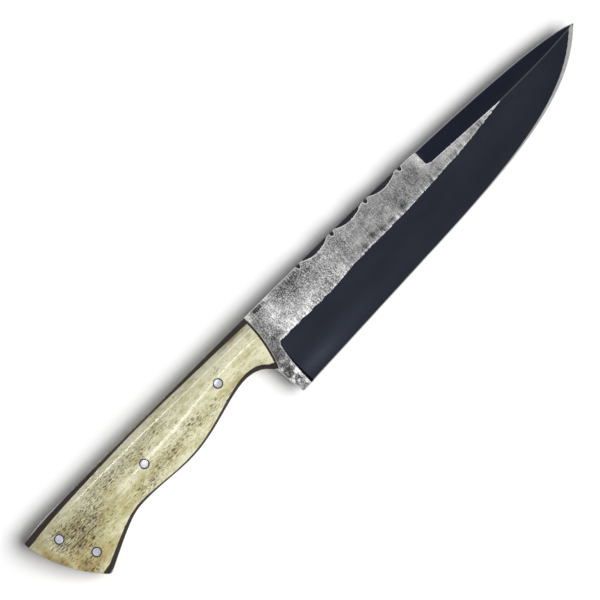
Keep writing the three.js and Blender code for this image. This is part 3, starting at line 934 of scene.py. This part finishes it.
class BladeLines:
    """The lines of the blade in plan by kind, distances to them, and the pale edges of each side, partly
    rubbed and partly painted highlight.
    """

    def __init__(self, solid):
        self.outline, self.bends, self.grind, self.filed = [], [], [], []
        self.wear_and_highlight = {}
        for side in SIDES:
            worn_and_highlighted_edges = {look: [] for look in WORN_AND_HIGHLIGHTED}
            for start, end, seen in solid.lines(side):
                self.sort(start, end, seen)
                for look, strength_of in WORN_AND_HIGHLIGHTED.items():
                    if strength_of(seen) and max(start.x, end.x) > RICASSO:
                        worn_and_highlighted_edges[look].append((start, end, strength_of(seen)))
            self.wear_and_highlight[side] = {look: WearAndHighlight(edges) for look, edges in worn_and_highlighted_edges.items()}
            self.bends += [(start, end) for edges in worn_and_highlighted_edges.values() for start, end, _ in edges]
        self.every = self.outline + self.bends + self.grind
        self.from_any = distance_to_lines(self.every, PROBE_STEP)
        self.from_grind = distance_to_lines(self.grind, PROBE_STEP)
        self.from_filed = distance_to_lines(self.filed, FINE_PROBE)
        self.from_outline = distance_to_lines(self.outline, OUTLINE_PROBE)

    def sort(self, start, end, seen):
        """Adds a line to its kind, and also to the file cuts where it bounds one."""
        if len(seen) == 1:
            self.outline.append((start, end))
        elif is_grind_line(seen):
            self.grind.append((start, end))
        else:
            self.bends.append((start, end))
        if SWEDGE in kinds_of(seen):
            self.filed.append((start, end))

    def shown(self):
        """The outline and bends ahead of the hidden tang."""
        return [line for line in self.outline + self.bends if max(place.x for place in line) > RICASSO]


def blade_plan(solid, lines):
    """The plan of the blade, finest by the grind line and coarse on the hidden tang."""

    def step_at(place):
        if place.x < RICASSO:
            return TANG_STEP
        if lines.from_grind(*place) < GRIND_REACH:
            return GRIND_STEP
        normal = solid.hit(*place, FRONT)[1]
        return FORGED_STEP if normal and ground_finish(normal) == FORGED else GROUND_STEP

    fill = edge_rows(lines.shown(), EDGE_ROWS, ROW_STEP)
    for step in (GRIND_STEP, FORGED_STEP, GROUND_STEP, TANG_STEP):
        for place in grid(*corners("blade"), step):
            if step_at(place) == step and lines.from_any(*place) > CLEAR * min(step, CLEAR_LIMIT):
                fill.append(place)
    return Plan(lines.every, fill, solid.covers)


def dress_blade(plan, solid, lines, side, looks):
    """Sets the heights of one side, adds its looks and gives the finishes of its faces."""
    heights, forged = [], []
    for (x, y), inside in zip(plan.points, plan.inside()):
        height, normal = solid.surface(*inside, side)
        ground = side * (height - MIDDLE)
        fade = min(1.0, lines.from_filed(x, y) / FILED_REACH)
        depth = fade * forged_depth(x, y, side) + eased(lines.from_outline(x, y), SPINE_EASE)
        skin = side * (FLAT[side] - MIDDLE) - depth
        is_forged = x > RICASSO and skin < ground and ground_finish(normal) != SWEDGE
        heights.append(MIDDLE + side * (skin if is_forged else ground))
        forged.append(is_forged)
        over = GRIND_SLOPE * lines.from_grind(x, y) if ground_finish(normal) == FORGED else 0.0
        looks["border"].append(math.exp((skin - ground - over) / GRIND_SLOPE / BORDER_REACH))
        looks["tone"].append(forged_tone(x, y, side))
        looks["crisp"].append(crispness(x, y))
        looks["cobble"].append(patches(x, y, COBBLES))
        looks["painted_sheen"].append(patches(x, y, PAINTED_BEVEL_SHEEN))
        # Pale edge lines: partly wearing of the steel, partly painted highlight
        for look, wear_and_highlight in lines.wear_and_highlight[side].items():
            looks[look].append(wear_and_highlight.at(x, y))
    plan.heights[side] = np.array(heights)
    corners_forged = np.array(forged)[plan.faces].sum(axis=1)
    middles = plan.points[plan.faces].mean(axis=1)
    ground_by = [finish_at(solid, x, y, side) for x, y in middles]
    return [FORGED if count >= MOST_CORNERS else kind for count, kind in zip(corners_forged, ground_by)]


def build_blade():
    solid = Solid("blade")
    lines = BladeLines(solid)
    plan = blade_plan(solid, lines)
    looks = {look: [] for look in ("tone", "border", "crisp", "cobble", "painted_sheen", *WORN_AND_HIGHLIGHTED)}
    finishes = {side: dress_blade(plan, solid, lines, side, looks) for side in SIDES}
    blade = plan.mesh("forged_blade", finishes, looks, WORN_AND_HIGHLIGHTED)
    materials = {
        FORGED: forged_steel(),
        BEVEL: blued_steel("bevel_steel", BEVEL_BLUE),
        SWEDGE: blued_steel("swedge_steel", SWEDGE_BLUE),
        SHARPENED: satin_steel("sharpened_steel", SHARPENED_GREYS),
        FILED: blued_steel("filed_steel", FILED_BLUE),
        SEAT: satin_steel("seat_steel", SEAT_GREYS),
    }
    placed(blade, "blade", "forged_steel", *(materials[kind] for kind in sorted(materials)))


# Handle: liners, bone scales and pins


def nearest_pin(x, y):
    return min((centre.xy for centre in PIN_CENTRES.values()), key=lambda c: math.hypot(x - c.x, y - c.y))


def pin_distance(x, y):
    return (Vector((x, y)) - nearest_pin(x, y)).length


def off_slit(x, y, way=-1):
    """The same place, or one beside the slit round a pin: on the pin's head, or outside it with way 1."""
    centre = nearest_pin(x, y)
    away = Vector((x, y)) - centre
    if abs(away.length - HOLE_RADIUS) < PIN_SLIT:
        away.length = HOLE_RADIUS + way * PIN_SLIT
    return centre + away


def without_holes(lines):
    return [line for line in lines if pin_distance(*line[0]) > HOLE_RADIUS + PIN_SLIT]


class Dome:
    """The rounded outer face of the bone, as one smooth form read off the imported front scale."""

    def __init__(self):
        node = "front_scale"
        solid = Solid(node, *PINS)
        low, high = corners(node)
        outline = [(start, end) for start, end, seen in Solid(node).lines(FRONT) if len(seen) == 1]
        outline = without_holes(outline)
        ends = [place for line in outline for place in line]
        toe = min(ends, key=lambda place: place.y)
        choil = max(ends, key=lambda place: place.x - place.y)
        self.floor = low.z - MIDDLE
        self.places = np.arange(low.x + DOME_STEP, high.x - DOME_STEP, DOME_STEP)
        bottoms = np.array([self.crossings(outline, min(max(x, toe.x), choil.x))[0] for x in self.places])
        tops = np.array([self.crossings(outline, x)[1] for x in self.places])
        self.bottom = self.smoothed(bottoms, OUTLINE_BLUR)
        self.top = self.smoothed(tops, OUTLINE_BLUR)
        whole = self.places[(self.places > toe.x) & (self.places < choil.x)]
        ridge = np.array([self.highest(solid, x, *self.crossings(outline, x)) for x in whole])
        self.crown = self.smoothed(np.interp(self.places, whole, ridge[:, 0]), CROWN_BLUR)
        self.rise = self.smoothed(np.interp(self.places, whole, ridge[:, 1] - low.z), CROWN_BLUR)

    def crossings(self, outline, x):
        """Lowest and highest place where the outline passes x."""
        found = []
        for start, end in outline:
            if (start.x - x) * (end.x - x) <= 0 and start.x != end.x:
                found.append(start.lerp(end, (x - start.x) / (end.x - start.x)).y)
        return min(found), max(found)

    def smoothed(self, values, blur):
        """The values under a bell curve, carried on evenly past both ends."""
        reach = int(BLUR_REACH * blur / DOME_STEP)
        weights = np.exp(-0.5 * (np.arange(-reach, reach + 1) * DOME_STEP / blur) ** 2)
        padded = np.pad(values, reach, mode="reflect", reflect_type="odd")
        return np.convolve(padded, weights / weights.sum(), mode="valid")

    def highest(self, solid, x, bottom, top):
        """Where the bone stands highest between two sides, and its height there."""
        across = np.arange(bottom + DOME_STEP, top - DOME_STEP, RIDGE_STEP)
        heights = [solid.surface(*off_slit(x, y), FRONT)[0] for y in across]
        return across[np.argmax(heights)], max(heights)

    def height(self, x, y):
        """How far the bone stands out from the knife's middle plane."""
        crown = np.interp(x, self.places, self.crown)
        upper = (y - crown) / (np.interp(x, self.places, self.top) - crown)
        lower = (crown - y) / (crown - np.interp(x, self.places, self.bottom))
        across = np.clip(np.where(y > crown, upper, lower), 0, 1)
        rise = np.interp(x, self.places, self.rise)
        return self.floor + np.maximum(rise * (1 - across**CROWN_FULLNESS), BONE_RIM)

    def normals(self, x, y):
        """Directions square to the form."""
        ahead = (self.height(x + DOME_STEP, y) - self.height(x - DOME_STEP, y)) / (2 * DOME_STEP)
        across = (self.height(x, y + RIDGE_STEP) - self.height(x, y - RIDGE_STEP)) / (2 * RIDGE_STEP)
        square = np.column_stack([-ahead, -across, np.ones(len(x))])
        return square / np.linalg.norm(square, axis=1)[:, None]


def handle_plan(node, step, offsets, bends):
    """The plan of a handle layer, with round holes and rows of points along its edges."""
    solid = Solid(node)
    lines = []
    for side in SIDES:
        lines += [(start, end) for start, end, seen in solid.lines(side) if bends or len(seen) == 1]
    lines = without_holes(lines)
    from_lines = distance_to_lines(lines, PROBE_STEP)
    fill = edge_rows(lines, offsets, step)
    for centre in PIN_CENTRES.values():
        for share in HOLE_ROWS:
            fill += ring(centre, share * HOLE_RADIUS, HOLE_SEGMENTS // 2)
    for place in grid(*corners(node), step):
        if from_lines(*place) > CLEAR * step and pin_distance(*place) > HOLE_ROWS[-1] * HOLE_RADIUS:
            fill.append(place)
    rings = [ring(centre, HOLE_RADIUS, HOLE_SEGMENTS) for centre in PIN_CENTRES.values()]
    holes = [line for loop in rings for line in closed(loop)]

    def covers(x, y):
        return pin_distance(x, y) > HOLE_MARGIN * HOLE_RADIUS and solid.covers(*off_slit(x, y, 1))

    return Plan(lines + holes, fill, covers), solid


def polish(scale, side, dome):
    """Gives the outer face of the bone the normals of its smooth form. Its edges keep their own."""
    x, y, z = np.array([vert.co[:] for vert in scale.data.vertices]).T / MM
    height = side * (z - MIDDLE)
    outer = (abs(height - dome.height(x, y)) < MERGE) & (height > dome.floor + 2 * BONE_RIM)
    normals = dome.normals(x, y) * (1, 1, side) * outer[:, None]
    scale.data.normals_split_custom_set_from_vertices(normals.tolist())


def build_liner(side, material):
    node = "front_liner" if side == FRONT else "back_liner"
    plan, solid = handle_plan(node, LINER_STEP, LINER_ROWS, True)
    places = [off_slit(x, y, 1) for x, y in plan.inside()]
    for face in SIDES:
        plan.heights[face] = np.array([solid.surface(*place, face)[0] for place in places])
    placed(plan.mesh(node + "_layer"), node, "liner", material)


def build_scale(side, dome, material):
    node = "front_scale" if side == FRONT else "back_scale"
    plan, _ = handle_plan(node, BONE_STEP, BONE_ROWS, False)
    x, y = plan.points.T
    outer = dome.height(x, y)
    rim = [i for i in np.unique(plan.rim()) if pin_distance(x[i], y[i]) > HOLE_ROWS[0] * HOLE_RADIUS]
    walls = [i for i in rim if outer[i] - dome.floor > BONE_WALL]
    from_wall = distance_to(plan.points[walls])
    outer -= [eased(from_wall(*place), BONE_EASE) for place in plan.points]
    plan.heights[side] = MIDDLE + side * outer
    plan.heights[-side] = np.full(len(x), MIDDLE + side * dome.floor)
    looks = {"age_and_painted_light": [], "pores": [], "glue_and_shade": []}
    for place in plan.points:
        looks["age_and_painted_light"].append(PLAIN_AGE + patches(*place, BONE_AGES_AND_PAINTED_LIGHT))
        looks["pores"].append(patches(*place, BONE_PORES))
        # Dark ring on the bone round each pin: a glue line with painted shade in the slit
        looks["glue_and_shade"].append(max(0.0, 1 - (pin_distance(*place) - HOLE_RADIUS) / GLUE_AND_SHADE_WIDTH))
    on_both_faces = {look: values * 2 for look, values in looks.items()}
    scale = plan.mesh(node + "_bone", None, on_both_faces)
    polish(scale, side, dome)
    placed(scale, node, "bone", material)


def build_pin(pin, dome, material):
    """A pin whose heads follow the bone on both sides and stand a little proud in the middle."""
    centre = PIN_CENTRES[pin].xy
    loops = [ring(centre, share * PIN_RADIUS, HOLE_SEGMENTS) for share in PIN_RINGS]
    plan = Plan(closed(loops[-1]), [centre] + sum(loops[:-1], []), lambda x, y: True)
    away = np.hypot(*(plan.points - np.array(centre)).T) / PIN_RADIUS
    shoulder = np.maximum(away - PIN_SHOULDER, 0) / (1 - PIN_SHOULDER)
    outer = dome.height(*plan.points.T) + PIN_CROWN * (1 - away**2) - PIN_CHAMFER * shoulder
    for side in SIDES:
        plan.heights[side] = MIDDLE + side * outer
    # Dark rim on the pin's chamfer: glue with painted shade
    rod = plan.mesh(pin + "_rod", None, {"glue_and_shade": shoulder.tolist() * 2})
    placed(rod, pin, "pin_metal", material)


def build_handle():
    liner_material, bone_material, pin_material = liner(), bone(), pin_metal()
    dome = Dome()
    for side in SIDES:
        build_liner(side, liner_material)
        build_scale(side, dome, bone_material)
    for pin in PINS:
        build_pin(pin, dome, pin_material)


# Stage: floor, light and camera


def build_floor():
    model = bmesh.new()
    bmesh.ops.create_grid(model, x_segments=FLOOR_CELLS, y_segments=FLOOR_CELLS, size=FLOOR_SIZE * MM / 2)
    mesh = bpy.data.meshes.new("floor")
    model.to_mesh(mesh)
    model.free()
    floor = bpy.data.objects.new("floor", mesh)
    floor.location.z = -FLOOR_DROP * MM
    bpy.context.scene.collection.objects.link(floor)
    shader = Shader("floor")
    shader.set({"Base Color": (*FLOOR_WHITE, 1), "Roughness": 0.9, "Specular IOR Level": 0.0})
    mesh.materials.append(shader.material)
    floor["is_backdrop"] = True


def build_world():
    """White for rays of the camera, of mirrors and through clear things, and dim for those that light."""
    world = bpy.data.worlds.new("studio")
    world.use_nodes = True
    bpy.context.scene.world = world
    nodes = Nodes(world.node_tree)
    path = nodes.node("LightPath").outputs
    reflected = nodes.math("MAXIMUM", path["Is Glossy Ray"], path["Is Transmission Ray"])
    seen_directly = nodes.math("MAXIMUM", path["Is Camera Ray"], reflected)
    background = world.node_tree.nodes["Background"]
    background.inputs["Color"].default_value = (1, 1, 1, 1)
    nodes.feed(background.inputs["Strength"], nodes.spread(seen_directly, (0.0, 1.0), (AMBIENT, 1.0)))


def add_lamp(name, place, width, depth, radiance, mirrored=True):
    """A soft box turned to the knife. Its depth runs as nearly up as it can. Gloss shows it if mirrored."""
    data = bpy.data.lights.new(name, "AREA")
    data.shape = "RECTANGLE"
    data.size = width * MM
    data.size_y = depth * MM
    data.energy = radiance * math.pi * data.size * data.size_y
    lamp = bpy.data.objects.new(name, data)
    lamp.location = Vector(place) * MM
    lamp.visible_glossy = mirrored
    lamp.rotation_mode = "QUATERNION"
    lamp.rotation_quaternion = (-lamp.location).to_track_quat("-Z", "Y")
    bpy.context.scene.collection.objects.link(lamp)


def add_camera():
    data = bpy.data.cameras.new("camera")
    data.sensor_width = SENSOR
    data.lens = SENSOR * (CAMERA_HEIGHT - MIDDLE) / (PIXEL * PHOTO_PIXELS)
    data.clip_end = CAMERA_REACH * MM
    camera = bpy.data.objects.new("camera", data)
    camera.location = Vector((HILT + AIM_AHEAD, SPINE - AIM_BELOW, CAMERA_HEIGHT)) * MM
    camera.rotation_euler = (0, 0, TURN)
    bpy.context.scene.collection.objects.link(camera)
    bpy.context.scene.camera = camera


build_blade()
build_handle()
build_floor()
build_world()
add_lamp("key", place=(1760, -1900, 5000), width=3600, depth=3600, radiance=9, mirrored=False)
add_lamp("crown_strip", place=(-51, 5, 1200), width=90, depth=273, radiance=11.5)
add_lamp("spine_strip", place=(-60, 1100, 370), width=380, depth=75, radiance=14)
add_camera()
bpy.context.scene.view_settings.view_transform = "Standard"

boxes = {"cad": cad_box, "visual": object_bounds()}
{name: [list(corner) for corner in box] for name, box in boxes.items()}
